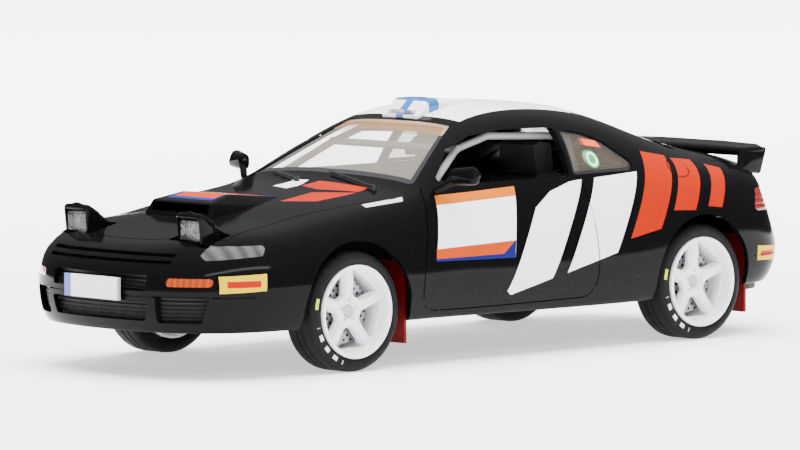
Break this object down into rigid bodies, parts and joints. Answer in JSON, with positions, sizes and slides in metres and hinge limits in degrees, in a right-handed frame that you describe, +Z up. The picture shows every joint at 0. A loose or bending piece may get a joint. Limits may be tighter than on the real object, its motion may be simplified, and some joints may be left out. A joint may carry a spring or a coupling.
{
  "type": "scale model rally car",
  "caption": "Die-cast scale model of a two-door liftback rally coupe, black with white roof and orange flashes, raised pop-up lamps, rear wing, steering and rolling wheels.",
  "frame": {"origin": "on the floor under the centre of the model's outline", "axes": "+X towards the nose, +Y towards the car's left side, +Z up"},
  "size_m": [0.247, 0.1068, 0.0739],
  "materials": {
    "black_body_paint": "gloss",
    "roof_white": "gloss",
    "chassis_plastic": "satin",
    "cabin_trim": "matt",
    "cage_grey": "satin",
    "clear_pane": "polished",
    "number_plate_white": "printed",
    "flap_red": "flexible",
    "orange_lens": "translucent",
    "clear_lens": "clear",
    "red_lens": "translucent",
    "axle_steel": "drawn",
    "white_rim": "painted",
    "tyre_rubber": "soft vinyl",
    "disc_metal": "turned"
  },
  "bodies": {
    "chassis": {"body_shell": "black_body_paint", "front_bumper": "black_body_paint", "rear_bumper": "black_body_paint", "base_plate": "chassis_plastic", "front_subframe": "chassis_plastic", "rear_axle": "axle_steel", "interior_tub": "chassis_plastic", "dashboard": "chassis_plastic", "steering_wheel": "cabin_trim", "roll_cage": "cage_grey", "windscreen": "clear_pane", "rear_window": "clear_pane", "bonnet_scoop": "black_body_paint", "rear_wing": "black_body_paint", "wipers": "cabin_trim", "front_number_plate": "number_plate_white", "rear_number_plate": "number_plate_white", "front_mud_flaps": "flap_red", "rear_mud_flaps": "flap_red", "roof_vent": "roof_white", "front_grille": "chassis_plastic", "indicators": "orange_lens", "exhaust": "axle_steel", "left_quarter_window": "clear_pane", "right_quarter_window": "clear_pane", "left_headlamp": "black_body_paint", "right_headlamp": "black_body_paint", "left_headlamp_lens": "clear_lens", "right_headlamp_lens": "clear_lens", "left_corner_lamp": "clear_lens", "right_corner_lamp": "clear_lens", "left_tail_lamp": "red_lens", "right_tail_lamp": "red_lens", "left_mirror": "black_body_paint", "right_mirror": "black_body_paint", "left_seat": "cabin_trim", "right_seat": "cabin_trim"},
    "left_steering_knuckle": {"left_knuckle": "axle_steel"},
    "right_steering_knuckle": {"right_knuckle": "axle_steel"},
    "steering_track_rod": {"track_rod": "axle_steel"},
    "front_left_wheel": {"front_left_rim": "white_rim", "front_left_tyre": "tyre_rubber", "front_left_brake_disc": "disc_metal"},
    "front_right_wheel": {"front_right_rim": "white_rim", "front_right_tyre": "tyre_rubber", "front_right_brake_disc": "disc_metal"},
    "rear_left_wheel": {"rear_left_rim": "white_rim", "rear_left_tyre": "tyre_rubber", "rear_left_brake_disc": "disc_metal"},
    "rear_right_wheel": {"rear_right_rim": "white_rim", "rear_right_tyre": "tyre_rubber", "rear_right_brake_disc": "disc_metal"}
  },
  "joints": [
    {"name": "steer_left", "type": "hinge", "parent": "chassis", "child": "left_steering_knuckle", "pos_m": [0.0633, 0.0345, 0.0173], "axis": [0, 0, 1], "range_deg": [-20, 20]},
    {"name": "steer_right", "type": "hinge", "parent": "chassis", "child": "right_steering_knuckle", "pos_m": [0.0633, -0.0345, 0.0173], "axis": [0, 0, 1], "range_deg": [-20, 20]},
    {"name": "track_rod_slide", "type": "slide", "parent": "chassis", "child": "steering_track_rod", "axis": [0, 1, 0], "range_m": [-0.0027, 0.0027]},
    {"name": "front_left_wheel_spin", "type": "hinge", "parent": "left_steering_knuckle", "child": "front_left_wheel", "pos_m": [0.0633, 0.0395, 0.0173], "axis": [0, 1, 0], "continuous": true},
    {"name": "front_right_wheel_spin", "type": "hinge", "parent": "right_steering_knuckle", "child": "front_right_wheel", "pos_m": [0.0633, -0.0395, 0.0173], "axis": [0, 1, 0], "continuous": true},
    {"name": "rear_left_wheel_spin", "type": "hinge", "parent": "chassis", "child": "rear_left_wheel", "pos_m": [-0.077, 0.0395, 0.0173], "axis": [0, 1, 0], "continuous": true},
    {"name": "rear_right_wheel_spin", "type": "hinge", "parent": "chassis", "child": "rear_right_wheel", "pos_m": [-0.077, -0.0395, 0.0173], "axis": [0, 1, 0], "continuous": true}
  ],
  "couplings": [
    {"joint": "steer_right", "follows": "steer_left", "ratio": 1},
    {"joint": "track_rod_slide", "follows": "steer_left", "m_per_rad": -0.00735}
  ]
}
